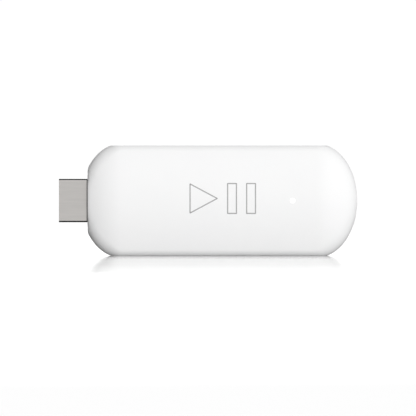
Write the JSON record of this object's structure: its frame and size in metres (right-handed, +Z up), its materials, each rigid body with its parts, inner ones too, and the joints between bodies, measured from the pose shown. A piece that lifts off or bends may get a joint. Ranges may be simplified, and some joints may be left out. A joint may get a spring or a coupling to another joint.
{
  "type": "streaming media player",
  "caption": "Slim white pebble-shaped stick that plugs straight into a television's video socket, with a power inlet, a reset button and a status light.",
  "frame": {"origin": "middle of the whole footprint, plug included, on the surface the stick stands on", "axes": "+X runs away from the plug along the stick, -Y is the broad front face, +Z is up through the long flat that carries the power inlet and the button"},
  "size_m": [0.0958, 0.014, 0.0353],
  "materials": {
    "white_case": "smooth satin white moulding",
    "white_button": "smooth satin white moulding",
    "light_window": "milky clear, polished",
    "plug_steel": "nickel plated, fine rolled grain",
    "port_steel": "bright stamped sheet",
    "tin_can": "tin plated sheet",
    "spring_steel": "polished spring strip",
    "screw_steel": "nickel plated",
    "spreader_aluminium": "plain rolled sheet",
    "gold_contacts": "gold flashed contacts",
    "black_plastic": "black moulded insulator",
    "chip_black": "moulded chip package",
    "switch_grey": "dark grey moulding",
    "inductor_grey": "pressed iron powder",
    "capacitor_tan": "ceramic body",
    "board_green": "solder mask over copper",
    "thermal_pad": "soft silicone pad",
    "led_yellow": "clear cap over phosphor"
  },
  "bodies": {
    "case": {"front_shell": "white_case", "rear_shell": "white_case", "light_pipe": "light_window", "hdmi_shell": "plug_steel", "hdmi_insulator": "black_plastic", "hdmi_contacts_front": "gold_contacts", "hdmi_contacts_rear": "gold_contacts", "main_board": "board_green", "processor": "chip_black", "memory_chips": "chip_black", "storage_chip": "chip_black", "power_chip": "chip_black", "wifi_module": "tin_can", "esd_arrays": "chip_black", "crystals": "tin_can", "inductors": "inductor_grey", "capacitors": "capacitor_tan", "shield_frame_front": "tin_can", "shield_lid_front": "tin_can", "shield_frame_rear": "tin_can", "shield_lid_rear": "tin_can", "thermal_pad_chip": "thermal_pad", "thermal_pad_lid": "thermal_pad", "heat_spreader": "spreader_aluminium", "usb_shell": "port_steel", "usb_tongue": "black_plastic", "usb_contacts": "gold_contacts", "switch_body": "switch_grey", "switch_dome": "spring_steel", "status_led": "led_yellow", "antenna_upper": "tin_can", "antenna_lower": "tin_can", "board_screws": "screw_steel"},
    "button": {"reset_button": "white_button"},
    "plunger": {"switch_plunger": "switch_grey"}
  },
  "joints": [
    {"name": "button_press", "type": "slide", "parent": "case", "child": "button", "axis": [0, 0, -1], "range_m": [0, 0.0003], "stiffness_N_per_m": 800},
    {"name": "plunger_press", "type": "slide", "parent": "case", "child": "plunger", "axis": [0, 0, -1], "range_m": [0, 0.0003], "deforming": ["switch_dome"]}
  ],
  "couplings": [
    {"joint": "plunger_press", "follows": "button_press", "ratio": 1}
  ]
}
